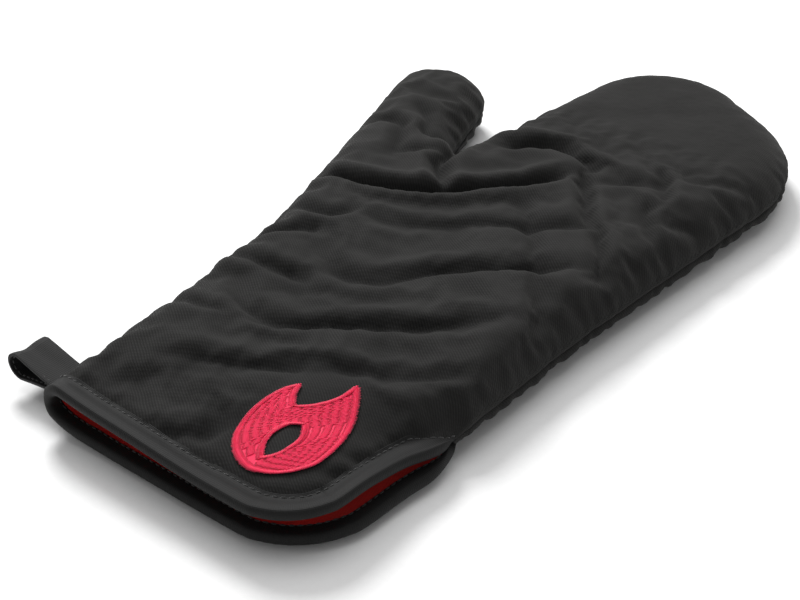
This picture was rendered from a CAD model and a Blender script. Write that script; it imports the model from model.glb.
"""Padded barbecue mitt: black twill panels over batting, a bound cuff with a side slit,
a red cotton lining, an embroidered flame and a hanging loop of tape.

Lengths inside the shape functions are in millimetres; meshes are written in metres.
"""
import math
import bpy
import numpy as np
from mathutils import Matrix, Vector, geometry, kdtree, noise


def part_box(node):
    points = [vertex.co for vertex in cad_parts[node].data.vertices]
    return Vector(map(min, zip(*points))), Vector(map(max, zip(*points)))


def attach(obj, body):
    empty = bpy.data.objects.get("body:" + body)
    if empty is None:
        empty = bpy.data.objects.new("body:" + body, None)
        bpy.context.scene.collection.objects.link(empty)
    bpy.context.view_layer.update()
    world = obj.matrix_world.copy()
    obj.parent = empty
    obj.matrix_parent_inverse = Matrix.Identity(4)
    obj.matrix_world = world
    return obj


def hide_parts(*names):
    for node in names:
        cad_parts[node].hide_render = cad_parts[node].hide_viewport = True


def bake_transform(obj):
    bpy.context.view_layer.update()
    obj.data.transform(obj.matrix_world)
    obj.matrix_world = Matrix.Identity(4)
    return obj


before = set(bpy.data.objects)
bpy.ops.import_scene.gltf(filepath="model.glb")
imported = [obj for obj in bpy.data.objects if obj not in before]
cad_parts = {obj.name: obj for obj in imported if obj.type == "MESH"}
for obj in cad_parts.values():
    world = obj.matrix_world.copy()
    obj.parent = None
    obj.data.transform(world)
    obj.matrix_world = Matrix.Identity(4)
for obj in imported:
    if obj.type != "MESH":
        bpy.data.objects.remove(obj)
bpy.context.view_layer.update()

bl_info = {
    "name": "Barbecue mitt",
    "version": (1, 0, 0),
    "blender": (4, 5, 0),
    "location": "3D View > Sidebar > Mitt",
    "description": "Makes a padded barbecue mitt piece by piece around its packed parts",
    "category": "Mesh",
}

MM = 0.001

# where the parts are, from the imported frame, in millimetres
SEAM_LOW, SEAM_HIGH = (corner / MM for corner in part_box("side_seam_thread"))
SHELL_LOW, SHELL_HIGH = (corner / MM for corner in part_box("front_shell"))
EMBLEM_LOW, EMBLEM_HIGH = (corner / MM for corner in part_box("emblem"))
LOOP_LOW, LOOP_HIGH = (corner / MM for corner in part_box("hanging_loop"))
SEAM_Z = (SEAM_LOW.z + SEAM_HIGH.z) / 2
TOP_Z = SHELL_HIGH.z
MOUTH_Y = -160.0
SLIT_END_Y = -65.0

# the mitt's outline: a belt round these circles, anticlockwise; x, y, radius and
# 1 where the outline bulges, -1 where it is hollow
BELT = (
    (56, -230, 20, 1), (870, 15, 800, -1), (-4, 183, 80, 1), (-16, 228, 47, 1),
    (-74, 125, 6, -1), (-125, 166, 27, 1), (-575, -128, 495, -1), (-60, -230, 20, 1),
)


# ---- outline and cloth coordinates ----

def smooth(value):
    """0 to 1 with level ends."""
    value = np.clip(value, 0.0, 1.0)
    return value * value * (3 - 2 * value)


def belt_line(inset=0.0, step=0.8):
    """Points along the outline, moved inwards by inset."""
    circles = [(x, y, r - way * inset, way) for x, y, r, way in BELT]
    angles = []
    for one, two in zip(circles, circles[1:] + circles[:1]):
        run, rise = two[0] - one[0], two[1] - one[1]
        turn = (two[3] * two[2] - one[3] * one[2]) / math.hypot(run, rise)
        angles.append(math.atan2(rise, run) - math.asin(max(-1.0, min(1.0, turn))))
    points = []
    for number, (x, y, radius, way) in enumerate(circles):
        first, last = angles[number - 1], angles[number]
        sweep = (last - first) % math.tau if way > 0 else -((first - last) % math.tau)
        count = max(3, int(abs(sweep) * radius / step) + 1)
        for angle in np.linspace(first, first + sweep, count):
            points.append((x + way * radius * math.sin(angle), y - way * radius * math.cos(angle)))
    return spaced(np.array(points + points[:1]), step)


def lengths(line):
    """Distance along a line at each of its points."""
    steps = np.linalg.norm(np.diff(line, axis=0), axis=1)
    return np.concatenate(([0.0], np.cumsum(steps)))


def spaced(line, step):
    """The same line with evenly spaced points."""
    along = lengths(line)
    count = max(2, int(round(along[-1] / step)) + 1)
    where = np.linspace(0, along[-1], count)
    return np.stack([np.interp(where, along, line[:, k]) for k in range(line.shape[1])], 1)


def unit(rows):
    return rows / np.linalg.norm(rows, axis=1)[:, None]


def ways(angle):
    """A direction in plan and the one square to it, on its left."""
    turn = math.radians(angle)
    way = np.array((math.cos(turn), math.sin(turn)))
    return way, np.array((-way[1], way[0]))


def runs(keep, least):
    """Unbroken stretches of places to keep, of at least so many points."""
    index = np.where(keep)[0]
    stretches = np.split(index, np.where(np.diff(index) > 1)[0] + 1)
    return [run for run in stretches if len(run) >= least]


def triangles(points, rims):
    """Triangles over plan points, which begin with closed rims of so many points each."""
    edges, first = [], 0
    for count in rims:
        edges += [(first + k, first + (k + 1) % count) for k in range(count)]
        first += count
    found = geometry.delaunay_2d_cdt([Vector(p) for p in points], edges, [], 1, 1e-6)
    return np.array([tuple(v) for v in found[0]]), [tuple(face) for face in found[2]]


class Plan:
    """One half of the mitt seen from above: its closed seam and its free edge round the
    mouth and slit. The front half is cut a little deeper at the corner than the back."""

    def __init__(self, corner, side, mouth):
        outline = belt_line()
        keep = outline[outline[:, 1] >= MOUTH_Y + 3]
        first = int(np.argmin(np.abs(keep[:, 1] - SLIT_END_Y) + 1e3 * (keep[:, 0] < 0)))
        self.seam = keep[first:].copy()
        x, y, radius = corner
        turn = np.radians(np.linspace(-8, -82, 7))
        arc = [(x + radius * math.cos(a), y + radius * math.sin(a)) for a in turn]
        knots = [tuple(self.seam[0])] + list(side) + arc + list(mouth) + [tuple(self.seam[-1])]
        self.edge = rounded(knots, 0.8)
        self.boundary = np.vstack([self.seam, self.edge[::-1][1:-1]])
        self.seam_along, self.edge_along = lengths(self.seam), lengths(self.edge)
        self.lines = {"seam": (self.seam, tree_of(self.seam), self.seam_along),
                      "edge": (self.edge, tree_of(self.edge), self.edge_along)}

    def holds(self, points):
        return within(points, self.boundary)

    def near(self, points, which="seam"):
        """Distance to the seam or edge, the nearest point there and its place along it."""
        line, tree, along = self.lines[which]
        index = np.array([tree.find((x, y, 0))[1] for x, y in points])
        best = np.full(len(points), 1e9)
        foot = np.zeros((len(points), 2))
        place = np.zeros(len(points))
        for low in (np.clip(index - 1, 0, len(line) - 2), np.clip(index, 0, len(line) - 2)):
            start, run = line[low], line[low + 1] - line[low]
            share = np.clip(np.sum((points - start) * run, 1) / np.sum(run * run, 1), 0, 1)
            spot = start + run * share[:, None]
            far = np.linalg.norm(points - spot, axis=1)
            better = far < best
            best = np.where(better, far, best)
            foot[better] = spot[better]
            place = np.where(better, along[low] + share * (along[low + 1] - along[low]), place)
        return best, foot, place


def tree_of(points):
    """A search tree over plan points."""
    tree = kdtree.KDTree(len(points))
    for number, point in enumerate(points):
        tree.insert((point[0], point[1], 0.0), number)
    tree.balance()
    return tree


def rounded(knots, step=2.0):
    """A smooth line through a few points."""
    knots = np.array(knots, float)
    padded = np.vstack([2 * knots[0] - knots[1], knots, 2 * knots[-1] - knots[-2]])
    points = []
    for p0, p1, p2, p3 in zip(padded, padded[1:], padded[2:], padded[3:]):
        for t in np.linspace(0, 1, 12, endpoint=False):
            points.append(0.5 * (2 * p1 + (p2 - p0) * t + (2 * p0 - 5 * p1 + 4 * p2 - p3) * t ** 2
                                 + (3 * p1 - p0 - 3 * p2 + p3) * t ** 3))
    points.append(padded[-2])
    return spaced(np.array(points), step)


def within(points, outline):
    """True for points inside a closed outline."""
    inside = np.zeros(len(points), bool)
    ends = np.roll(outline, -1, axis=0)
    for (x1, y1), (x2, y2) in zip(outline, ends):
        if y1 == y2:
            continue
        crosses = (points[:, 1] < y1) != (points[:, 1] < y2)
        at = x1 + (points[:, 1] - y1) * (x2 - x1) / (y2 - y1)
        inside ^= crosses & (points[:, 0] < at)
    return inside


# the front and the back half: the corner between mouth and slit as x, y, radius, then
# points beside the slit and along the mouth
PLANS = {
    True: Plan((37, -126, 31.5), ((71, -78), (68.6, -92), (68.4, -110)),
               ((20, -157.6), (-15, -157.6), (-50, -157.4))),
    False: Plan((31, -114.5, 40), ((73, -80), (71.5, -96)),
                ((10, -154.6), (-20, -154.6), (-52, -155.0))),
}

# distances from the seam to the rings of points beside it
RINGS = (0.0, 0.05, 0.3, 0.8, 1.6, 2.8, 4.4, 6.5, 8.8)


def panel_plan(front, step, rings=RINGS):
    """Plan points and triangles of a panel: rings beside the seam, even points elsewhere."""
    plan = PLANS[front]
    boundary = np.vstack([spaced(plan.seam, step), spaced(plan.edge, step)[::-1][1:-1]])
    parts = [boundary]
    for ring in rings[1:]:
        line = spaced(belt_line(ring), step)
        line = line[plan.holds(line)]
        far, _, _ = plan.near(line)
        edge, _, _ = plan.near(line, "edge")
        parts.append(line[(np.abs(far - ring) < 0.04) & (edge > 0.55 * step)])
    low, high = boundary.min(0), boundary.max(0)
    rise = step * math.sqrt(3) / 2
    rows = np.arange(low[1] + rise / 2, high[1], rise)
    grid = np.array([(x + (number % 2) * step / 2, y) for number, y in enumerate(rows)
                     for x in np.arange(low[0], high[0], step)])
    grid = grid[within(grid, boundary)]
    far, _, _ = plan.near(grid)
    edge, _, _ = plan.near(grid, "edge")
    parts.append(grid[(far > rings[-1] + 0.6 * step) & (edge > 0.6 * step)])
    return triangles(np.vstack(parts), [len(boundary)])


# ---- the padded form ----

def turned(points, angle):
    """Distances of plan points along and across a direction."""
    turn = math.radians(angle)
    return (points[:, 0] * math.cos(turn) + points[:, 1] * math.sin(turn),
            -points[:, 0] * math.sin(turn) + points[:, 1] * math.cos(turn))


def perlin(points, along, across, angle, seed):
    """Even noise, drawn out along one way of the cloth."""
    u, v = turned(points, angle)
    return np.array([noise.noise((a, b, seed)) for a, b in zip(u / along, v / across)])


def noise_along(places, pitch, seed):
    return np.array([noise.noise((place / pitch, seed, 0)) for place in places])


# how high the cloth rises beside a crease, as a share of the crease's depth
FOLD_LIFT = 0.35


def crease(points, knots, depth, width):
    """How far a crease and the folds beside it move the cloth, out of the mitt."""
    line = rounded(knots)
    along = lengths(line)
    total = np.zeros(len(points))
    low, high = line.min(0) - 5 * width, line.max(0) + 5 * width
    close = np.where(np.all((points > low) & (points < high), axis=1))[0]
    if not len(close):
        return total
    spots = points[close]
    gaps = spots[:, None, :] - line[None, :, :]
    index = np.argmin(np.linalg.norm(gaps, axis=2), axis=1)
    way = unit(np.gradient(line, axis=0))
    best = gaps[np.arange(len(spots)), index]
    side = way[index, 0] * best[:, 1] - way[index, 1] * best[:, 0]
    beyond = np.abs(np.sum(best * way[index], axis=1))
    reach = np.minimum(along[index], along[-1] - along[index])
    fade = smooth((reach + 4) / (0.18 * along[-1] + 4)) * np.exp(-(beyond / (0.8 * width)) ** 2)
    valley = -depth * (np.exp(-(((side / width) ** 2 + 0.03) ** 0.62)) + 0.03)
    lift = FOLD_LIFT * depth * np.exp(-((np.abs(side) - 2.3 * width) / (1.3 * width)) ** 2)
    total[close] = (valley + lift) * fade
    return total


# the long folds of the front panel: knots in plan, depth, width
FRONT_CREASES = (
    (((-106, 43), (-75, 51), (-46, 68), (-18, 96), (0, 124)), 8.0, 3.8),
    (((-66, 124), (-65, 104), (-62, 90), (-46, 72)), 6.0, 3.8),
    (((-54, 124), (-28, 140), (-10, 138), (6, 130)), 4.6, 4.2),
    (((0, 128), (12, 112), (30, 83)), 4.0, 3.6),
    (((39, 81), (47, 71), (54, 61)), 3.2, 3.2),
    (((30, 153), (40, 138), (49, 125)), 3.2, 3.2),
    (((42, 120), (50, 108), (59, 96)), 3.0, 3.2),
    (((-14, 90), (7, 66), (29, 44), (50, 24)), 1.2, 4.6),
    (((-60, 20), (-31, 35), (10, 66), (31, 83)), 2.4, 4.6),
    (((-52, -14), (-20, -18), (6, 11), (50, 52)), 3.4, 4.6),
    (((-60, -67), (-24, -66), (17, -37), (53, 2)), 3.2, 4.6),
    (((-52, -122), (-7, -97), (39, -63), (69, -36)), 2.8, 4.6),
    (((-18, -150), (1, -138), (14, -122)), 1.5, 5.0),
    (((-76, -85), (-58, -83), (-44, -80)), 2.6, 3.0),
    (((-83, -22), (-72, -10), (-61, 2)), 3.0, 3.0),
    (((-82, -41), (-58, -38), (-40, -35)), 3.2, 3.2),
    (((-84, 11), (-68, 13), (-61, 24)), 2.8, 3.0),
    (((-86, 112), (-74, 114), (-64, 120)), 2.6, 3.0),
    (((-119, 109), (-104, 108), (-94, 96), (-86, 82)), 3.0, 3.4),
    (((-112, 134), (-96, 122), (-86, 106)), 3.0, 3.4),
    (((-87, 88), (-79, 92), (-70, 101)), 2.6, 3.0),
    (((51, -126), (59, -120), (67, -118)), 1.2, 2.6),
    (((52, -111), (58, -109), (65, -107)), 1.0, 2.6),
)

# quilting lines: angle of the line, its distance from the middle, depth, width
FRONT_QUILT = (
    (42, 82, 1.2, 4.5), (42, 43, 1.0, 5.0), (42, 4, 1.1, 5.0), (42, -36, 1.1, 5.0),
    (42, -70, 1.0, 5.0), (42, -104, 0.9, 5.0), (42, 121, 0.8, 5.0), (42, 160, 0.6, 5.0),
    (-50, 50, 1.1, 4.5), (-50, 81, 1.2, 4.5), (-50, 115, 1.0, 4.5), (-50, 17, 0.5, 5.0),
    (-50, -16, 0.4, 5.0), (-50, -49, 0.4, 5.0), (-50, -82, 0.3, 5.0), (-50, -115, 0.3, 5.0),
    (-50, 148, 0.6, 5.0),
)
# the even quilting of the back panel and the linings
QUILT_PITCH = 36.0
QUILT_SHIFT = 7.0
QUILT_ANGLES = (42.0, -48.0)
QUILT_ROWS = range(-8, 9)


def quilt_drift(along, offset):
    """How far a quilting line wanders sideways."""
    return 1.2 * np.sin(along / 21.0 + offset)


def quilt_field(points, lines):
    """Depth of the furrows that quilting lines sew into the cloth."""
    total = np.zeros(len(points))
    for angle, offset, depth, width in lines:
        along, side = turned(points, angle)
        total -= depth * np.exp(-((side - offset + quilt_drift(along, offset)) / width) ** 2)
    return total


EVEN_QUILT = tuple((angle, number * QUILT_PITCH + QUILT_SHIFT, 1.8, 4.6)
                   for angle in QUILT_ANGLES for number in QUILT_ROWS)


def settled(place):
    """Draws the cuff in and up where the mouth ends at the thumb side's seam."""
    pull = smooth((-118 - place[:, 1]) / 42) * (1 - smooth((place[:, 0] + 84) / 50))
    place[:, 0] += 4.0 * pull
    place[:, 2] += 2.0 * pull
    return place


# gathers along the seam: distance apart, height, reach into the cloth, seed
PUCKERS = ((13.0, 0.75, 7.5, 2.0), (7.3, 0.4, 4.5, 5.0), (31, 0.6, 12, 8.0))

# widths of the rounded sides: of the front at its free edge and how much more further in,
# and of the back
FRONT_ROUND, FRONT_ROUND_MORE = 14, 9
BACK_ROUND = 24.0
# the front's height over the seam at the free edge, and how much more at the thumb's side
LIP, LIP_MORE = 10.6, 2.2
# how much lower the front's fingertips are, and the dip that the binding's stitches sew
TIP_DROP, BINDING_DIP = 3.0, 2.6
# batting and cloth between the two faces at the free edge, and how much more further in
WALL, WALL_MORE = 3.6, 4.6
# how far the outer cloth may sink before the lining gives way
LINING_SLACK = 4.0


class Form:
    """The cloth over plan points: outer face and lining, for the front or the back half."""

    def __init__(self, points, front, relief=1.0):
        self.points, self.front = points, front
        plan = self.plan = PLANS[front]
        d, foot, self.along = plan.near(points)
        e, _, edge_along = plan.near(points, "edge")
        way = np.gradient(plan.edge, axis=0)
        index = np.clip(np.searchsorted(plan.edge_along, edge_along), 0, len(way) - 1)
        self.edge_inward = unit(np.stack([way[index, 1], -way[index, 0]], 1))
        self.d, self.e = d, e
        inward = points - foot
        size = np.linalg.norm(inward, axis=1)
        # on the seam itself, the way in is square to the seam
        run = np.gradient(plan.seam, axis=0)
        index = np.clip(np.searchsorted(plan.seam_along, self.along), 0, len(run) - 1)
        square = unit(np.stack([-run[index, 1], run[index, 0]], 1))
        safe = size > 0.02
        inward[safe] /= size[safe, None]
        beside = np.where(d < 1.5)[0]
        astray = beside[np.sum(inward[beside] * square[beside], axis=1) < 0]
        safe[astray] = False
        d[astray] = 0.0
        inward[~safe] = square[~safe]
        self.inward = inward
        tip = smooth((points[:, 1] - 170) / 110)
        slit_end = np.linalg.norm(points - plan.seam[0], axis=1)
        if front:
            self.way = 1.0
            self.width = FRONT_ROUND + FRONT_ROUND_MORE * smooth(e / 60)
            lip = ((LIP + LIP_MORE * smooth((20 - points[:, 0]) / 60))
                   * (0.28 + 0.72 * smooth(slit_end / 60)))
            sink = BINDING_DIP * np.exp(-((e - 8.5) / 3.4) ** 2) * smooth(d / 14)
            near_edge = smooth(e / (22 + 38 * smooth(slit_end / 60)))
            self.rise = (lip + (TOP_Z - SEAM_Z - lip) * near_edge - TIP_DROP * tip * near_edge
                         - sink)
        else:
            self.way = -1.0
            self.width = np.full(len(d), BACK_ROUND)
            right = smooth((points[:, 0] + 60) / 130)
            self.rise = SEAM_Z - 0.4 - (2.8 + 1.2 * right) * (1 - smooth(e / 50))
        self.wall = WALL + WALL_MORE * smooth(e / 40)
        self.share = np.clip(d / self.width, 0, 1)
        self.swell = np.sqrt(np.clip(1 - (1 - self.share) ** 2, 0, 1))
        self.relief = (self.front_relief() if front else self.back_relief()) * relief

    # -- relief of the outer face, along its own normal
    def front_relief(self):
        """Quilting, folds and wrinkles of the front."""
        p, d, e = self.points, self.d, self.e
        body = smooth(d / 12) * smooth((e - 6) / 16)
        full = 1 - 0.8 * smooth((p[:, 1] - 135) / 60)
        # the cloth lies flatter under the emblem
        patch = (smooth((p[:, 0] - EMBLEM_LOW.x + 8) / 8)
                 * smooth((EMBLEM_HIGH.x + 8 - p[:, 0]) / 8)
                 * smooth((EMBLEM_HIGH.y + 8 - p[:, 1]) / 8))
        full = full * (1 - 0.6 * patch)
        total = 0.75 * quilt_field(p, FRONT_QUILT) * body * full
        for knots, depth, width in FRONT_CREASES:
            total += (crease(p, knots, depth, width) * smooth((d + 2) / 8) * smooth((e - 3) / 8)
                      * (1 - 0.5 * patch))
        total += 0.9 * perlin(p, 60, 11, 42, 1.5) * body * full
        total += 0.8 * perlin(p, 40, 17, 30, 4.5) * body * full
        total += 0.35 * perlin(p, 9, 6, -35, 7.5) * body * full
        total += 0.16 * perlin(p, 4, 3.4, 20, 9.5) * smooth(d / 4)
        return total + self.puckers(0.45) + 0.5 * body

    def back_relief(self):
        """Even quilting, pressed flat where it lies on the table."""
        p, d, e = self.points, self.d, self.e
        body = smooth(d / 10) * smooth((e - 6) / 16)
        total = quilt_field(p, EVEN_QUILT) * body
        total += 0.7 * perlin(p, 50, 13, 42, 21.5) * body
        total += 0.4 * perlin(p, 10, 7, -35, 27.5) * body
        total += 0.16 * perlin(p, 4, 3.4, 20, 29.5) * smooth(d / 4)
        return np.minimum(total - 0.2, 0.15) + self.puckers(0.8)

    def puckers(self, strength):
        """Small gathers where the cloth runs into the seam."""
        s, d = self.along, self.d
        total = np.zeros(len(s))
        for pitch, size, reach, seed in PUCKERS:
            wander = noise_along(s, 38, seed)
            level = 0.65 + 0.7 * noise_along(s, 55, seed + 9)
            lean = 0.10 * d * (1 if self.front else -1)
            wave = np.cos(math.tau * ((s + lean) / pitch + 1.3 * wander))
            total += size * np.clip(level, 0.1, 1.3) * (wave - 0.35) * np.exp(-(d / reach) ** 2)
        near_mouth = smooth((self.plan.seam_along[-1] - s) / 20)
        return total * strength * near_mouth

    # -- positions
    def outer(self, lift=0.0):
        """Outer face, with the groove at the seam and the move of the simulated cloth."""
        cosine = 1 - self.share
        x_out = -self.inward * (cosine * self.rise / self.width)[:, None]
        normal = unit(np.column_stack([x_out, self.swell * self.way]))
        height = self.rise * self.swell
        groove = -1.7 * np.exp(-(height / 2.4) ** 2)
        plump = 0.9 * np.exp(-((height - 7) / 4.5) ** 2) * smooth(self.e / 12)
        shift = (groove + plump)[:, None] * -self.inward
        place = np.column_stack([self.points + shift, SEAM_Z + self.way * height])
        place[:, 2] += (1 - smooth(self.d / 6)) * self.seam_wave()
        place += normal * (self.relief * (0.15 + 0.85 * smooth(height / 6)) + lift)[:, None]
        return settled(place + drift_of(self.front, self.points))

    def seam_wave(self):
        """How far the seam itself wanders up and down."""
        wave = 0.8 * noise_along(self.along, 30, 3.3) + 0.4 * noise_along(self.along, 9, 8.1)
        return wave * smooth(self.e / 20)

    def inner(self, lift=0.0, quilted=True):
        """Lining face, on the cavity's side; lift is towards the cavity."""
        cosine = 1 - self.share
        shift = self.inward * ((self.wall + lift) * cosine)[:, None]
        if quilted:
            shift = shift + self.edge_inward * (2.2 * (1 - smooth(self.e / 7)))[:, None]
        height = (self.rise - self.wall - lift) * self.swell
        place = np.column_stack([self.points + shift, SEAM_Z + self.way * height])
        if quilted:
            # the lining gives way under the deep folds of the outer cloth
            outer_move = self.relief + self.way * drift_of(self.front, self.points)[:, 2]
            place[:, 2] += self.way * np.minimum(outer_move + LINING_SLACK, 0.0) * self.swell
            puff = 0.45 * (quilt_field(self.points, EVEN_QUILT) + 1.2) * smooth((self.e - 9) / 8)
            ripple = 0.5 * perlin(self.points, 30, 12, 42, 3.3) * smooth(self.e / 9)
            puff = puff * smooth(self.d / 10) + ripple
            place[:, 2] -= self.way * puff * self.swell
        return settled(place)

    def weave(self):
        """Cloth coordinates: plan, with the walls laid flat outwards."""
        u = np.linspace(0, 1, 200)
        wide, tall = float(np.median(self.width)), float(np.median(self.rise))
        x, z = wide * u, tall * np.sqrt(1 - (1 - u) ** 2)
        arc = lengths(np.column_stack([x, z]))
        extra = (arc[-1] - np.interp(self.share, u, arc)) - wide * (1 - self.share)
        return self.points - self.inward * extra[:, None]


# ---- cloth simulation ----

# the simulated sheets, as a search tree and each point's move, by half
SLUMP = {}
SLUMP_CAP = 4.5
SLUMP_STEP = 4.2
SLUMP_FRAMES = 20


def drift_of(front, points):
    """How far the simulated cloth has moved at plan points, read from its coarse sheet."""
    if front not in SLUMP:
        return np.zeros((len(points), 3))
    tree, moved = SLUMP[front]
    result = np.empty((len(points), 3))
    for number, (x, y) in enumerate(points):
        found = tree.find_n((x, y, 0.0), 6)
        weight = np.array([1.0 / (far * far + 1.5) for _, _, far in found])
        result[number] = weight @ moved[[index for _, index, _ in found]] / weight.sum()
    return result


def slump(front):
    """Lets the batting push the spare cloth of one half into wrinkles between its quilting."""
    points, faces = panel_plan(front, SLUMP_STEP, (0.0, 1.2, 4.0))
    form = Form(points, front)
    before = form.outer()
    sheet = mesh_object("slump_sheet", before, faces)
    face_up(sheet, form.way)
    lines = FRONT_QUILT if front else EVEN_QUILT
    seam = 1 - smooth((form.d - 1) / 8)
    edge = 1 - smooth((form.e - 9) / 10)
    sewn = np.clip(-quilt_field(points, lines) / 1.6, 0, 1) ** 2
    held = np.clip(np.maximum(np.maximum(seam, edge), 0.55 * sewn), 0, 1)
    if front:
        patch = np.all((points > (EMBLEM_LOW.x - 5, EMBLEM_LOW.y - 5))
                       & (points < (EMBLEM_HIGH.x + 5, EMBLEM_HIGH.y + 5)), axis=1)
        held = np.maximum(held, patch)
        held = np.maximum(held, smooth((points[:, 1] - 130) / 50))
    group = sheet.vertex_groups.new(name="held")
    for number, weight in enumerate(held):
        group.add([number], float(weight), "REPLACE")
    cloth = sheet.modifiers.new("cloth", "CLOTH")
    rules = cloth.settings
    rules.quality = 6
    rules.mass = 0.2
    rules.tension_stiffness = rules.compression_stiffness = 12
    rules.shear_stiffness = 4
    rules.bending_stiffness = 0.25
    rules.vertex_group_mass = "held"
    rules.pin_stiffness = 1.0
    rules.shrink_min = -0.055
    rules.use_pressure = True
    rules.uniform_pressure_force = 1.6
    rules.effector_weights.gravity = 0
    cloth.collision_settings.use_collision = False
    cloth.collision_settings.use_self_collision = False
    scene = bpy.context.scene
    for number in range(SLUMP_FRAMES):
        scene.frame_set(number + 1)
    graph = bpy.context.evaluated_depsgraph_get()
    after = np.empty(len(before) * 3)
    sheet.evaluated_get(graph).data.vertices.foreach_get("co", after)
    moved = after.reshape(-1, 3) / MM - before
    far = np.linalg.norm(moved, axis=1)
    moved *= (np.tanh(far / SLUMP_CAP) * SLUMP_CAP / np.maximum(far, 1e-6))[:, None]
    if not front:
        moved[:, 2] = np.maximum(moved[:, 2], 0.0)
    old = sheet.data
    bpy.data.objects.remove(sheet)
    bpy.data.meshes.remove(old)
    scene.frame_set(1)
    SLUMP[front] = (tree_of(points), moved)


# ---- meshes ----

def place_object(name, data):
    """A new object in the scene, unmoved."""
    item = bpy.data.objects.new(name, data)
    bpy.context.scene.collection.objects.link(item)
    return item


def mesh_object(name, places, faces, uv=None, wear=None):
    """A mesh in metres from points in millimetres, with cloth coordinates and wear."""
    mesh = bpy.data.meshes.new(name)
    mesh.from_pydata([tuple(p) for p in np.asarray(places) * MM], [], [tuple(f) for f in faces])
    mesh.validate()
    if uv is not None:
        layer = mesh.uv_layers.new(name="weave")
        index = np.zeros(len(mesh.loops), int)
        mesh.loops.foreach_get("vertex_index", index)
        layer.data.foreach_set("uv", (np.asarray(uv)[index] * MM).ravel())
    if wear is not None:
        layer = mesh.attributes.new("wear", "FLOAT", "POINT")
        layer.data.foreach_set("value", np.asarray(wear, np.float32))
    mesh.shade_smooth()
    return place_object(name, mesh)


def strip_faces(count, across):
    """Faces of a strip made of count rows of points."""
    return [(k * across + j, k * across + j + 1, (k + 1) * across + j + 1, (k + 1) * across + j)
            for k in range(count - 1) for j in range(across - 1)]


def face_up(piece, way):
    """Turns an open sheet so that its faces look up, or down where way is negative."""
    if way * sum(face.normal.z * face.area for face in piece.data.polygons) < 0:
        piece.data.flip_normals()


def thicken(piece, thickness, offset=-1.0, soft=0.0):
    """Gives a sheet its wall, and soft edges where they are asked for, and applies them."""
    solid = piece.modifiers.new("wall", "SOLIDIFY")
    solid.thickness, solid.offset = thickness * MM, offset
    if soft:
        bevel = piece.modifiers.new("soft edge", "BEVEL")
        bevel.width, bevel.segments = soft * MM, 2
        bevel.limit_method, bevel.angle_limit = "ANGLE", math.radians(50)
    bake(piece)


def bake(piece):
    """Replaces a piece's mesh with its evaluated one and drops the modifiers."""
    bpy.context.view_layer.update()
    graph = bpy.context.evaluated_depsgraph_get()
    result = bpy.data.meshes.new_from_object(piece.evaluated_get(graph), depsgraph=graph)
    piece.modifiers.clear()
    old, piece.data = piece.data, result
    name = old.name
    bpy.data.meshes.remove(old)
    result.name = name


def wear_of(relief):
    """How worn the cloth is: most on the high places."""
    spread = np.std(relief) + 1e-6
    return np.clip(0.5 + 0.25 * (relief - np.mean(relief)) / spread, 0, 1)


def dress(piece, finish, body=None):
    """Gives a piece its finish, its slot and, unless it is blended, its body."""
    if not piece.data.materials:
        piece.data.materials.append(material(finish))
    if body:
        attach(piece, body)
    return piece


def bend_to_thumb(piece):
    """Blends a piece from the hand to the thumb across the fold."""
    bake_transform(piece)


# ---- materials ----

class Nodes:
    """Short calls that add, fill and link the nodes of a tree."""

    def __init__(self, tree):
        self.tree = tree

    def add(self, kind, settings=None, **inputs):
        node = self.tree.nodes.new(kind)
        for key, value in (settings or {}).items():
            setattr(node, key, value)
        for key, value in inputs.items():
            self.put(node.inputs[key.replace("_", " ")], value)
        return node

    def put(self, socket, value):
        if isinstance(value, bpy.types.NodeSocket):
            self.tree.links.new(value, socket)
        else:
            socket.default_value = value

    def maths(self, operation, *values):
        node = self.add("ShaderNodeMath", {"operation": operation})
        for socket, value in zip(node.inputs, values):
            self.put(socket, value)
        return node.outputs[0]


class Shader(Nodes):
    """A material with a principled shader."""

    def __init__(self, name):
        self.material = bpy.data.materials.new(name)
        self.material.use_nodes = True
        super().__init__(self.material.node_tree)
        self.surface = next(n for n in self.tree.nodes if n.type == "BSDF_PRINCIPLED")

    def times(self, first, second):
        return self.maths("MULTIPLY", first, second)

    def scaled(self, value, by, plus):
        return self.maths("MULTIPLY_ADD", value, by, plus)

    def total(self, first, *others):
        for other in others:
            first = self.maths("ADD", first, other)
        return first

    def wave(self, value, pitch):
        """0 to 1 and back once every pitch millimetres."""
        return self.scaled(self.maths("SINE", self.times(value, math.tau / (pitch * MM))), 0.5, 0.5)

    def clamped(self, value):
        return self.maths("MINIMUM", self.maths("MAXIMUM", value, 0.0), 1.0)

    def blend(self, share, first, second):
        node = self.add("ShaderNodeMix", {"data_type": "RGBA"}, Factor=share)
        self.put(node.inputs["A"], first)
        self.put(node.inputs["B"], second)
        return node.outputs["Result"]

    def noise(self, place, scale, detail=3.0, rough=0.6):
        return self.add("ShaderNodeTexNoise", Vector=place, Scale=scale, Detail=detail,
                        Roughness=rough).outputs["Fac"]

    def ramp(self, value, low, high, out_low=0.0, out_high=1.0):
        node = self.add("ShaderNodeMapRange", {"interpolation_type": "SMOOTHSTEP"})
        for socket, number in zip(node.inputs, (value, low, high, out_low, out_high)):
            self.put(socket, number)
        return node.outputs[0]

    def bump(self, height, distance, strength, **below):
        return self.add("ShaderNodeBump", Height=height, Distance=distance, Strength=strength,
                        **below).outputs[0]

    def split(self, vector):
        node = self.add("ShaderNodeSeparateXYZ", Vector=vector)
        return node.outputs["X"], node.outputs["Y"], node.outputs["Z"]

    def set(self, **values):
        for key, value in values.items():
            self.put(self.surface.inputs[key.replace("_", " ")], value)


def colour(value):
    return (*value, 1.0)


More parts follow.
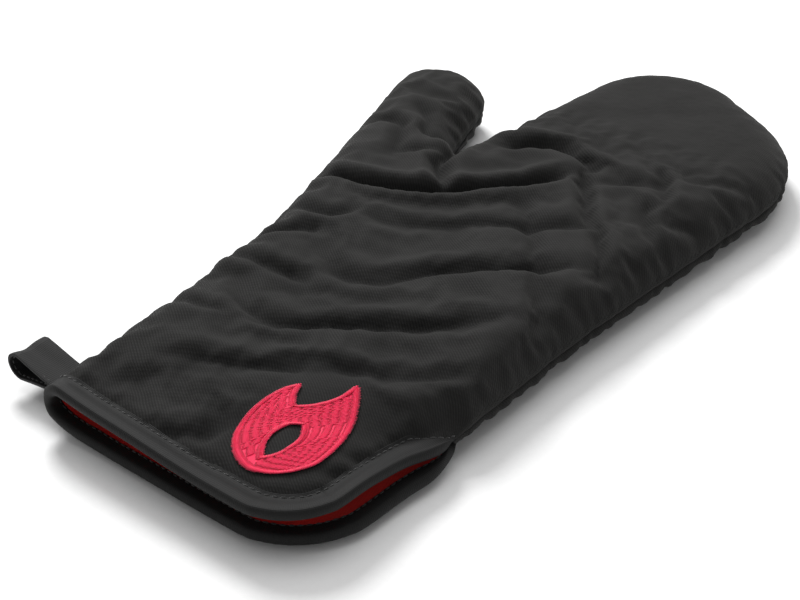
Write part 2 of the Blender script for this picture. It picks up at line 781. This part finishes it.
def cloth_material(name, dark, light, pitch, angle, sheen, tint, fuzz=0.5, coarse=1.0, worn=True):
    """Twill cloth: slanting ridges broken into floats, fuzz, lint and worn high places."""
    s = Shader(name)
    place = s.add("ShaderNodeUVMap", {"uv_map": "weave"}).outputs[0]
    x, y, _ = s.split(place)
    cosine, sine = math.cos(math.radians(angle)), math.sin(math.radians(angle))
    drift = s.times(s.noise(place, 90.0, 2.0), 0.0009)
    across = s.total(s.times(x, sine), s.times(y, -cosine), drift)
    along = s.total(s.times(x, cosine), s.times(y, sine))
    floats = s.wave(s.scaled(across, 0.5, along), pitch * 1.7)
    yarn = s.times(s.maths("POWER", s.wave(across, pitch), 0.8), s.scaled(floats, 0.35, 0.65))
    hair = s.noise(place, 2600.0, 2.0, 0.7)
    blotch = s.noise(place, 38.0, 4.0, 0.55)
    tone = s.total(s.times(yarn, 0.55), s.times(hair, fuzz), s.scaled(blotch, 0.7, -0.35))
    if worn:
        wear = s.add("ShaderNodeAttribute", {"attribute_name": "wear"}).outputs["Fac"]
        tone = s.total(tone, s.scaled(wear, 0.5, -0.25))
    tone = s.clamped(tone)
    lint = s.ramp(s.noise(place, 1450.0, 1.0, 0.4), 0.73, 0.80)
    shade = s.blend(s.times(lint, 0.3), s.blend(tone, colour(dark), colour(light)),
                    colour([c * 2.5 + 0.01 for c in light]))
    low = s.bump(s.noise(place, 170.0, 3.0), 0.0006 * coarse, 0.5)
    middle = s.bump(yarn, 0.00016 * coarse, 0.8, Normal=low)
    s.set(Base_Color=shade, Normal=s.bump(hair, 0.0001, 0.6, Normal=middle), Metallic=0.0,
          Roughness=s.ramp(tone, 0.0, 1.0, 0.95, 0.82), Specular_IOR_Level=0.2,
          Sheen_Weight=sheen, Sheen_Roughness=0.55, Sheen_Tint=colour(tint))
    return s.material


def thread_material(name, dark, light, twist, gloss):
    """Spun thread: plies that wind round it, and a soft shine."""
    s = Shader(name)
    place = s.add("ShaderNodeTexCoord").outputs["Object"]
    x, y, z = s.split(place)
    ply = s.wave(s.total(x, y, s.times(z, 1.7)), twist)
    fibre = s.noise(place, 3800.0, 2.0)
    shade = s.blend(s.total(s.times(ply, 0.6), s.times(fibre, 0.5)), colour(dark), colour(light))
    s.set(Base_Color=shade,
          Normal=s.bump(ply, 0.00012, 0.8, Normal=s.bump(fibre, 0.00005, 0.5)),
          Roughness=gloss, Specular_IOR_Level=0.45, Sheen_Weight=0.25, Sheen_Roughness=0.4)
    return s.material


def tape_material(name, dark, light, sheen):
    """Woven tape: fine ribs across the tape, crossed by its picks."""
    s = Shader(name)
    place = s.add("ShaderNodeUVMap", {"uv_map": "weave"}).outputs[0]
    x, y, _ = s.split(place)
    yarn = s.times(s.scaled(s.wave(x, 0.95), 0.4, 0.6), s.scaled(s.wave(y, 0.7), 0.3, 0.7))
    slant = s.wave(s.total(x, y), 1.5)
    hair = s.noise(place, 2400.0, 2.0, 0.7)
    blotch = s.scaled(s.noise(place, 60.0, 3.0), 0.5, -0.35)
    tone = s.clamped(s.total(s.times(s.times(yarn, slant), 0.5), s.scaled(hair, 0.6, blotch)))
    s.set(Base_Color=s.blend(tone, colour(dark), colour(light)),
          Normal=s.bump(hair, 0.0001, 0.5, Normal=s.bump(yarn, 0.0002, 0.9)),
          Roughness=0.68, Specular_IOR_Level=0.26, Sheen_Weight=sheen, Sheen_Roughness=0.4,
          Sheen_Tint=colour((0.8, 0.8, 0.8)))
    return s.material


MADE = {}


def material(name):
    """The named finish, made once from the sidebar's colours."""
    if name in MADE:
        return MADE[name]
    c = bpy.context.scene.mitt_colours

    def shades(base, *shares):
        return [[min(1.0, value * share) for value in base] for share in shares]

    makers = {
        "black_twill": lambda: cloth_material(
            name, *shades(c.shell, 0.45, 1.75), c.twill_pitch / MM, -33, 0.045, (0.8, 0.78, 0.75)),
        "red_cotton": lambda: cloth_material(
            name, *shades(c.lining, 0.6, 1.15), 0.8, 45, 0.2, (1, 0.4, 0.35), 0.35, 0.8, False),
        "black_tape": lambda: tape_material(name, *shades(c.shell, 0.3, 0.8), 0.022),
        "black_thread": lambda: thread_material(name, *shades(c.shell, 0.8, 2.6), 0.55, 0.55),
        "red_thread": lambda: thread_material(name, *shades(c.lining, 0.6, 1.2), 0.55, 0.5),
        "embroidery_thread": lambda: thread_material(
            name, *shades(c.embroidery, 0.9, 1.15), 0.5, 0.5),
    }
    MADE[name] = makers[name]()
    return MADE[name]


# ---- stitches ----

STITCH_INPUTS = (
    ("Spacing", "NodeSocketFloat", 0.0032), ("Length", "NodeSocketFloat", 0.0026),
    ("Thread", "NodeSocketFloat", 0.00035), ("Across", "NodeSocketFloat", 0.00035),
    ("Jitter", "NodeSocketFloat", 0.05), ("Seed", "NodeSocketInt", 7),
    ("Finish", "NodeSocketMaterial", None),
)


def stitch_tree():
    """Lays one stitch at each step along a path: a small bead drawn out along the path."""
    if "stitch row" in bpy.data.node_groups:
        return bpy.data.node_groups["stitch row"]
    tree = bpy.data.node_groups.new("stitch row", "GeometryNodeTree")
    tree.interface.new_socket("Geometry", in_out="INPUT", socket_type="NodeSocketGeometry")
    for name, kind, default in STITCH_INPUTS:
        socket = tree.interface.new_socket(name, in_out="INPUT", socket_type=kind)
        if default is not None:
            socket.default_value = default
    tree.interface.new_socket("Geometry", in_out="OUTPUT", socket_type="NodeSocketGeometry")
    n = Nodes(tree)
    given = n.add("NodeGroupInput").outputs
    path = n.add("GeometryNodeMeshToCurve", Mesh=given["Geometry"]).outputs["Curve"]
    even = n.add("GeometryNodeResampleCurve", {"mode": "LENGTH"}, Curve=path,
                 Length=given["Spacing"])
    bead = n.add("GeometryNodeMeshUVSphere", Segments=6, Rings=5, Radius=1.0)
    tangent = n.add("GeometryNodeInputTangent").outputs[0]
    turn = n.add("FunctionNodeAlignRotationToVector", {"axis": "X"}, Vector=tangent)
    chance = n.add("FunctionNodeRandomValue", {"data_type": "FLOAT"}, Seed=given["Seed"])
    chance.inputs[2].default_value, chance.inputs[3].default_value = -1.0, 1.0
    sway = n.maths("MULTIPLY", chance.outputs[1], given["Jitter"])
    spin = n.add("ShaderNodeCombineXYZ", Z=sway)
    wobble = n.add("FunctionNodeEulerToRotation", Euler=spin.outputs[0])
    joined = n.add("FunctionNodeRotateRotation", {"rotation_space": "LOCAL"},
                   Rotation=turn.outputs[0], Rotate_By=wobble.outputs[0])
    half = n.maths("MULTIPLY", given["Length"], 0.5)
    size = n.add("ShaderNodeCombineXYZ", X=half, Y=given["Across"], Z=given["Thread"])
    lay = n.add("GeometryNodeInstanceOnPoints", Points=even.outputs["Curve"],
                Instance=bead.outputs["Mesh"], Rotation=joined.outputs[0], Scale=size.outputs[0])
    real = n.add("GeometryNodeRealizeInstances", Geometry=lay.outputs["Instances"])
    smoothed = n.add("GeometryNodeSetShadeSmooth", Geometry=real.outputs[0])
    finish = n.add("GeometryNodeSetMaterial", Geometry=smoothed.outputs[0],
                   Material=given["Finish"])
    n.add("NodeGroupOutput", Geometry=finish.outputs[0])
    return tree


def stitch_row(name, lines, finish, spacing, length, thread, across=None, jitter=0.05, seed=7):
    """One piece with a stitch at each step along every line; lines are in millimetres."""
    places, edges = [], []
    for line in lines:
        first = len(places)
        places.extend(tuple(p) for p in np.asarray(line) * MM)
        edges.extend((k, k + 1) for k in range(first, len(places) - 1))
    mesh = bpy.data.meshes.new(name)
    mesh.from_pydata(places, edges, [])
    piece = place_object(name, mesh)
    tree = stitch_tree()
    modifier = piece.modifiers.new("stitches", "NODES")
    modifier.node_group = tree
    values = {"Spacing": spacing * MM, "Length": length * MM, "Thread": thread * MM,
              "Across": (across or thread) * MM, "Jitter": jitter, "Seed": seed,
              "Finish": material(finish)}
    for item in tree.interface.items_tree:
        if item.in_out == "INPUT" and item.name in values:
            modifier[item.identifier] = values[item.name]
    bake(piece)
    return piece


# ---- pieces ----

def half_name(front):
    return "front" if front else "back"


def make_panel(front):
    """Outer cloth of one half, swollen over its batting, quilted and creased."""
    sizes = bpy.context.scene.mitt_sizes
    slump(front)
    points, faces = panel_plan(front, sizes.panel_step / MM)
    form = Form(points, front, sizes.relief)
    half = half_name(front)
    piece = mesh_object(half + "_panel", form.outer(), faces, form.weave(), wear_of(form.relief))
    face_up(piece, form.way)
    thicken(piece, 1.1)
    dress(piece, "black_twill")
    bend_to_thumb(piece)
    nodes = [name % half for name in
             ("%s_shell", "%s_batting", "thumb_%s_shell", "thumb_%s_batting")]
    if front:
        nodes += ["side_seam_thread", "thumb_side_seam_thread"]
    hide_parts(*nodes)


def make_lining(front):
    """Red quilted lining of one half, on the cavity's side of the batting."""
    points, faces = panel_plan(front, LINING_STEP, (0.0, 0.3, 1.0, 2.2, 4.0, 6.5))
    form = Form(points, front)
    half = half_name(front)
    piece = mesh_object(half + "_quilted_lining", form.inner(), faces, points)
    face_up(piece, -form.way)
    thicken(piece, 0.9)
    dress(piece, "red_cotton")
    bend_to_thumb(piece)
    nodes = [half + "_lining", "thumb_%s_lining" % half]
    if front:
        nodes += ["lining_seam_thread", "thumb_lining_seam_thread"]
    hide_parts(*nodes)


LINING_STEP = 3.2

# the tape's two legs: distances from the free edge to the rows of its points
OUTER_LEG = (11.0, 10.5, 9.6, 7.6, 5.8, 4.2, 2.8, 1.6)
INNER_LEG = {True: (1.6, 2.6, 4.0, 5.6, 7.2, 8.4, 9.0),
             False: (1.6, 2.2, 3.2, 4.2, 5.2, 6.0, 6.5)}
# the turn of the tape round the edge, in degrees, and how far it stands out there
ROLL_TURN = (20, 45, 70, 90, 110, 135, 160)
ROLL_OUT = 2.4
STITCH_IN = 9.6
EDGE_STEP = 1.6


def edge_stations(front):
    """Points along the free edge and the way into the cloth there, from the slit's end,
    where the tape narrows to the side seam."""
    line = spaced(PLANS[front].edge, EDGE_STEP)
    run = unit(np.gradient(line, axis=0))
    # the edge runs down the slit and along the mouth, so the cloth is on its right
    inward = np.stack([run[:, 1], -run[:, 0]], 1)
    taper = 0.1 + 0.9 * smooth((lengths(line) + 2) / 24)
    return line, inward, taper[:, None]


def tape_form(front, line, inward, distance):
    """The cloth under the tape, with its creases pressed flat."""
    form = Form(line + inward * distance, front)
    form.relief = form.relief * smooth((np.max(distance) - 6) / 8) * 0.5
    return form


def binding_section(front):
    """Rows of points across the tape, station by station."""
    line, inward, taper = edge_stations(front)
    rows = []
    for distance in OUTER_LEG:
        edge = smooth((OUTER_LEG[0] - distance) / 1.0)
        groove = -0.5 * math.exp(-((distance - STITCH_IN) / 0.9) ** 2)
        form = tape_form(front, line, inward, distance * taper)
        rows.append(form.outer(0.1 + 0.75 * edge + groove))
    top = tape_form(front, line, inward, 1.2 * taper).outer(1.3)
    bottom = tape_form(front, line, inward, 1.2 * taper).inner(1.0, quilted=False)
    centre = (top + bottom) / 2
    out = np.column_stack([-inward, np.zeros(len(line))]) * taper
    for turn in ROLL_TURN:
        angle = math.radians(turn)
        rows.append(centre + (top - centre) * math.cos(angle) + out * ROLL_OUT * math.sin(angle))
    for distance in INNER_LEG[front]:
        edge = smooth((INNER_LEG[front][-1] - distance) / 1.0)
        form = tape_form(front, line, inward, distance * taper)
        rows.append(form.inner(0.1 + 0.8 * edge, quilted=False))
    return np.array(rows).transpose(1, 0, 2)


def make_binding():
    """Tape folded over the free edge, once round the mouth and both sides of the slit."""
    stations = np.vstack([binding_section(True), binding_section(False)[::-1]])
    count, across = stations.shape[:2]
    along, wide = lengths(stations[:, across // 2]), lengths(stations[count // 4])
    uv = np.array([(a, w) for a in along for w in wide])
    piece = mesh_object("binding_tape", stations.reshape(-1, 3), strip_faces(count, across), uv)
    # the roll's outermost row looks away from the cavity
    roll = piece.data.polygons[(count // 3) * (across - 1) + across // 2]
    if roll.normal.dot(roll.center - Vector((0, -60 * MM, SEAM_Z * MM))) < 0:
        piece.data.flip_normals()
    rounding = piece.modifiers.new("rounding", "SUBSURF")
    rounding.levels = rounding.render_levels = 1
    bake(piece)
    thicken(piece, 0.8)
    dress(piece, "black_tape", "hand")
    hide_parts("cuff_binding")


def make_binding_stitches():
    """Two rows of black stitches through the tape, on the outside and inside of each half."""
    for front in (True, False):
        line, inward, taper = edge_stations(front)
        inside = INNER_LEG[front][-1] - 1.2
        rows = [tape_form(front, line, inward, STITCH_IN * taper).outer(0.5),
                tape_form(front, line, inward, inside * taper).inner(1.0, quilted=False)]
        name = half_name(front) + "_binding_stitches"
        piece = stitch_row(name + "_sewn", rows, "black_thread", 3.4, 2.7, 0.38)
        dress(piece, "black_thread", "hand")
        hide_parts(name)


def make_lining_stitches():
    """Red quilting stitches on the lining, row by row."""
    for front in (True, False):
        lines = []
        for angle, offset, _, _ in EVEN_QUILT:
            way, side = ways(angle)
            spots = np.arange(-330, 330, 3.0)[:, None] * way + side * offset
            spots = spots - side * quilt_drift(spots @ way, offset)[:, None]
            spots = spots[PLANS[front].holds(spots)]
            if len(spots) < 8:
                continue
            form = Form(spots, front)
            place = form.inner(0.35)
            lines += [place[run] for run in runs((form.d > 11) & (form.e > 13), 5)]
        piece = stitch_row(half_name(front) + "_quilting", lines, "red_thread", 3.6, 2.6, 0.3,
                           seed=11 + front)
        dress(piece, "red_thread")
        bend_to_thumb(piece)


# ---- hanging loop ----

LOOP_WIDTH = LOOP_HIGH.y - LOOP_LOW.y
LOOP_MIDDLE = (LOOP_HIGH.y + LOOP_LOW.y) / 2
LOOP_STEPS = 80
LOOP_ROUND = 5.4
# points of the tape without stitches at either root
LOOP_BARE = 9


def loop_profile():
    """The tape's line seen from the cuff, root to root, in x and z."""
    root = np.array((LOOP_HIGH.x - 2.0, SEAM_Z))
    far = np.array((LOOP_LOW.x + 6.0, SEAM_Z + 1.0))
    lean = math.asin((LOOP_ROUND - 1.2) / (root[0] - far[0]))
    points = [(root[0] + 5.0, root[1] + 0.9), (root[0] - 0.5, root[1] + 1.1)]
    for angle in np.linspace(math.pi / 2 - lean, 3 * math.pi / 2 + lean, 26):
        points.append((far[0] + LOOP_ROUND * math.cos(angle),
                       far[1] + LOOP_ROUND * math.sin(angle)))
    points += [(root[0] - 0.5, root[1] - 1.1), (root[0] + 5.0, root[1] - 0.9)]
    line = rounded(points, 1.0)
    return spaced(line, lengths(line)[-1] / LOOP_STEPS)


def make_loop():
    """Tape doubled back on itself into a soft teardrop, sewn into the side seam."""
    line = loop_profile()
    along = lengths(line)
    share = along / along[-1]
    free = np.sin(math.pi * share)
    slew = 1.2 * free * (share - 0.5)
    outside = unit(np.column_stack([np.gradient(line[:, 1]), -np.gradient(line[:, 0])]))
    across = np.linspace(-0.5, 0.5, 19)

    def taped(k, a, lift):
        """A point of the tape, a of its width from the middle and lifted off its line."""
        return (line[k, 0] + outside[k, 0] * lift, LOOP_MIDDLE + a * LOOP_WIDTH + slew[k],
                line[k, 1] + outside[k, 1] * lift)

    places, uv = [], []
    for k in range(len(line)):
        for a in across:
            bow = 0.5 * math.cos(math.tau * a) + 0.25 * math.sin(9 * a + 7 * share[k])
            places.append(taped(k, a, -bow * free[k]))
            uv.append((along[k], a * LOOP_WIDTH))
    piece = mesh_object("loop_tape", places, strip_faces(len(line), len(across)), uv)
    thicken(piece, 1.4, 0.0, 0.4)
    dress(piece, "black_tape", "loop")
    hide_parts("hanging_loop")
    rows = [[taped(k, a, lift) for k in range(LOOP_BARE, len(line) - LOOP_BARE)]
            for a in (-0.42, 0.42) for lift in (0.75, -0.75)]
    stitches = stitch_row("loop_stitches", rows, "black_thread", 3.0, 2.3, 0.3)
    dress(stitches, "black_thread", "loop")


def make_loop_root():
    """Doubled end of the loop's tape that goes into the seam."""
    width = LOOP_WIDTH - 0.6
    start, end = LOOP_HIGH.x - 2.6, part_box("loop_tail")[1].x / MM
    places = [(x, LOOP_MIDDLE + b * width, SEAM_Z + 0.15 * math.sin(20 * b))
              for b in np.linspace(-0.5, 0.5, 19) for x in np.linspace(start, end, 9)]
    piece = mesh_object("loop_root_tape", places, strip_faces(19, 9),
                        [place[:2] for place in places])
    thicken(piece, 2.6, 0.0, 0.6)
    dress(piece, "black_tape", "hand")
    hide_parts("loop_tail")


# ---- embroidered flame ----

# corners as shares of the width and height, then the next side's radius as a share of the
# height and whether it bulges out
FLAME = (
    (0.00, 0.00, 0.34, True), (0.50, 0.36, 0.95, True), (0.08, 1.00, 0.55, False),
    (-0.20, 0.56, 0.28, False), (-0.36, 0.74, 0.80, True), (-0.50, 0.32, 0.34, True),
)
HEART = ((0.02, 0.10, 0.26, True), (0.06, 0.50, 0.26, True))
PAD_STEP = 1.1
FILL_ANGLE = 62


def flame_line(rows, step=0.6):
    """The flame's outline in millimetres, from arcs between its corners."""
    wide, tall = EMBLEM_HIGH.x - EMBLEM_LOW.x, EMBLEM_HIGH.y - EMBLEM_LOW.y
    foot = np.array(((EMBLEM_HIGH.x + EMBLEM_LOW.x) / 2, EMBLEM_LOW.y))
    points = []
    for number, (x, y, share, bulges) in enumerate(rows):
        nx, ny = rows[(number + 1) % len(rows)][:2]
        start, end = foot + (x * wide, y * tall), foot + (nx * wide, ny * tall)
        radius = share * tall
        chord = end - start
        size = np.linalg.norm(chord)
        outward = np.array((chord[1], -chord[0])) / size
        way = 1 if bulges else -1
        centre = (start + end) / 2 - outward * way * math.sqrt(radius ** 2 - size ** 2 / 4)
        a1 = math.atan2(*(start - centre)[::-1])
        a2 = math.atan2(*(end - centre)[::-1])
        sweep = (a2 - a1) % math.tau if bulges else -((a1 - a2) % math.tau)
        for angle in np.linspace(a1, a1 + sweep, 24, endpoint=False):
            points.append(centre + radius * np.array((math.cos(angle), math.sin(angle))))
    return spaced(np.array(points + points[:1]), step)[:-1]


def on_front(points, lift):
    """Points laid on the front panel's outer face."""
    form = Form(np.asarray(points, float), True, bpy.context.scene.mitt_sizes.relief)
    return form.outer(lift)


def inside_flame(points, outside, heart):
    return within(points, outside) & ~within(points, heart)


def make_emblem():
    """Flame of satin stitches: a raised pad, slanting fill rows and a stitched border."""
    outside, heart = flame_line(FLAME), flame_line(HEART)
    rims = np.vstack([outside, heart])

    def to_rim(points):
        return np.min(np.linalg.norm(points[:, None] - rims[None], axis=2), axis=1)

    low, high = outside.min(0), outside.max(0)
    grid = np.array([(x, y) for x in np.arange(low[0], high[0], PAD_STEP)
                     for y in np.arange(low[1], high[1], PAD_STEP)])
    grid = grid[inside_flame(grid, outside, heart)]
    grid = grid[to_rim(grid) > 0.6]
    flat, faces = triangles(np.vstack([rims, grid]), [len(outside), len(heart)])
    faces = [f for f in faces if not within(np.mean(flat[list(f)], axis=0)[None], heart)[0]]
    places = on_front(flat, 0.25 + 0.35 * smooth(to_rim(flat) / 2))
    pad = mesh_object("flame_pad", places, faces, flat)
    face_up(pad, 1)
    thicken(pad, 0.9)
    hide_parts("emblem")
    way, side = ways(FILL_ANGLE)
    rows = []
    for offset in np.arange(-45, 45, 0.62):
        spots = (low + high) / 2 + side * offset + np.arange(-50, 50, 0.5)[:, None] * way
        for run in runs(inside_flame(spots, outside, heart), 4):
            rows.append(on_front(spots[run], 0.75))
    fill = stitch_row("flame_fill", rows, "embroidery_thread", 3.9, 4.3, 0.30, 0.36, 0.03, 3)
    border = [on_front(np.vstack([line, line[:1]]), 0.85) for line in (outside, heart)]
    edge = stitch_row("flame_border", border, "embroidery_thread", 0.62, 0.62, 0.42, 1.15, 0.08, 5)
    for piece in (pad, fill, edge):
        dress(piece, "embroidery_thread", "hand")


# ---- stage ----

FLOOR_HALF = 6.0
CAMERA_AIM = (-0.0122, -0.0007, 0.015)


def make_stage():
    """Pale floor, soft light from the upper left and the camera."""
    stage = bpy.context.scene.mitt_stage
    half, depth = FLOOR_HALF / MM, -0.6
    floor = mesh_object("floor", [(x, y, depth) for y in (-half, half) for x in (-half, half)],
                        strip_faces(2, 2))
    face_up(floor, 1)
    s = Shader("pale_paper")
    grain = s.noise(s.add("ShaderNodeTexCoord").outputs["Object"], 400.0, 2.0)
    s.set(Base_Color=s.blend(grain, colour((0.86,) * 3), colour((0.9,) * 3)), Roughness=0.9,
          Specular_IOR_Level=0.1)
    floor.data.materials.append(s.material)

    world = bpy.data.worlds.new("studio")
    world.use_nodes = True
    back = next(n for n in world.node_tree.nodes if n.type == "BACKGROUND")
    back.inputs["Color"].default_value = (1, 1, 1, 1)
    back.inputs["Strength"].default_value = stage.fill
    bpy.context.scene.world = world

    for name, place, size, power in (("key", (-1.0, 0.55, 1.25), 0.7, stage.key),
                                     ("top", (-0.1, 0.2, 2.2), 2.0, stage.top)):
        light = bpy.data.lights.new(name, "AREA")
        light.shape, light.size, light.energy = "DISK", size, power
        lamp = place_object(name, light)
        lamp.location = place
        lamp.rotation_euler = (-Vector(place)).to_track_quat("-Z", "Y").to_euler()

    turn, rise = math.radians(stage.azimuth), math.radians(stage.elevation)
    back_way = Vector((math.sin(turn) * math.cos(rise), -math.cos(turn) * math.cos(rise),
                       math.sin(rise)))
    data = bpy.data.cameras.new("camera")
    data.lens, data.sensor_width = 72.0, 36.0
    data.clip_start, data.clip_end = 0.02, 50
    camera = place_object("camera", data)
    camera.location = Vector(CAMERA_AIM) + back_way * stage.distance
    camera.rotation_euler = back_way.to_track_quat("Z", "Y").to_euler()
    bpy.context.scene.camera = camera
    bpy.context.scene.view_settings.view_transform = "Standard"


# ---- settings, operators and panel ----

def number(name, words, default, **rest):
    return bpy.props.FloatProperty(name=name, description=words, default=default, **rest)


def tint(name, words, default):
    return bpy.props.FloatVectorProperty(name=name, description=words, default=default,
                                         min=0, max=1, subtype="COLOR")


class MittSizes(bpy.types.PropertyGroup):
    panel_step: number("Panel step", "Distance between the points of the outer cloth", 0.0020,
                       min=0.001, max=0.01, unit="LENGTH", precision=4)
    relief: number("Relief", "Depth of the quilting and creases, 1 as sewn", 1.0,
                   min=0.0, max=2.0, subtype="FACTOR")


class MittColours(bpy.types.PropertyGroup):
    shell: tint("Shell", "Colour of the outer twill", (0.0085, 0.0083, 0.0080))
    lining: tint("Lining", "Colour of the lining", (0.72, 0.022, 0.018))
    embroidery: tint("Embroidery", "Colour of the embroidered flame", (1.0, 0.012, 0.090))
    twill_pitch: number("Twill pitch", "Distance between the twill's ridges", 0.00115,
                        min=0.0003, max=0.005, unit="LENGTH", precision=5)


class MittStage(bpy.types.PropertyGroup):
    azimuth: number("Azimuth", "Camera's turn round the mitt, degrees", 40.0)
    elevation: number("Elevation", "Camera's height over the floor, degrees", 33.0)
    distance: number("Distance", "From the camera to the mitt", 0.736, unit="LENGTH")
    key: number("Key", "Power of the key light", 28.0)
    top: number("Top", "Power of the top light", 19.0)
    fill: number("Fill", "Strength of the surroundings", 0.4)


class Step:
    """What the steps share: each makes its pieces and reports that it has finished."""
    bl_options = {"REGISTER", "UNDO"}

    def execute(self, context):
        self.make()
        return {"FINISHED"}


class MITT_OT_stage(Step, bpy.types.Operator):
    """Make the floor, the lights and the camera"""
    bl_idname = "mitt.stage"
    bl_label = "Stage"

    def make(self):
        make_stage()


class MITT_OT_panels(Step, bpy.types.Operator):
    """Make the two outer panels of quilted black twill"""
    bl_idname = "mitt.panels"
    bl_label = "Outer panels"

    def make(self):
        make_panel(True)
        make_panel(False)


class MITT_OT_linings(Step, bpy.types.Operator):
    """Make the red lining and its quilting stitches"""
    bl_idname = "mitt.linings"
    bl_label = "Lining"

    def make(self):
        make_lining(True)
        make_lining(False)
        make_lining_stitches()


class MITT_OT_binding(Step, bpy.types.Operator):
    """Make the tape round the mouth and slit, and its stitches"""
    bl_idname = "mitt.binding"
    bl_label = "Binding"

    def make(self):
        make_binding()
        make_binding_stitches()


class MITT_OT_loop(Step, bpy.types.Operator):
    """Make the hanging loop of tape and its sewn root"""
    bl_idname = "mitt.loop"
    bl_label = "Hanging loop"

    def make(self):
        make_loop_root()
        make_loop()


class MITT_OT_emblem(Step, bpy.types.Operator):
    """Make the embroidered flame on the cuff"""
    bl_idname = "mitt.emblem"
    bl_label = "Embroidered flame"

    def make(self):
        make_emblem()


class MITT_PT_panel(bpy.types.Panel):
    """Sizes, colours and steps of the mitt"""
    bl_idname = "MITT_PT_panel"
    bl_label = "Barbecue mitt"
    bl_space_type = "VIEW_3D"
    bl_region_type = "UI"
    bl_category = "Mitt"

    def draw(self, context):
        scene = context.scene
        for group in (scene.mitt_sizes, scene.mitt_colours, scene.mitt_stage):
            box = self.layout.box()
            for name in group.__annotations__:
                box.prop(group, name)
        for step in STEPS:
            self.layout.operator(step.bl_idname, text=step.bl_label)


STEPS = (MITT_OT_stage, MITT_OT_panels, MITT_OT_linings, MITT_OT_binding, MITT_OT_loop,
         MITT_OT_emblem)
CLASSES = (MittSizes, MittColours, MittStage) + STEPS + (MITT_PT_panel,)


def register():
    for item in CLASSES:
        bpy.utils.register_class(item)
    bpy.types.Scene.mitt_sizes = bpy.props.PointerProperty(type=MittSizes)
    bpy.types.Scene.mitt_colours = bpy.props.PointerProperty(type=MittColours)
    bpy.types.Scene.mitt_stage = bpy.props.PointerProperty(type=MittStage)


def unregister():
    for name in ("mitt_sizes", "mitt_colours", "mitt_stage"):
        delattr(bpy.types.Scene, name)
    for item in reversed(CLASSES):
        bpy.utils.unregister_class(item)


def main():
    register()
    bpy.ops.mitt.stage()
    bpy.ops.mitt.panels()
    bpy.ops.mitt.linings()
    bpy.ops.mitt.binding()
    bpy.ops.mitt.loop()
    bpy.ops.mitt.emblem()
    bpy.context.view_layer.update()


if __name__ == "__main__":
    main()
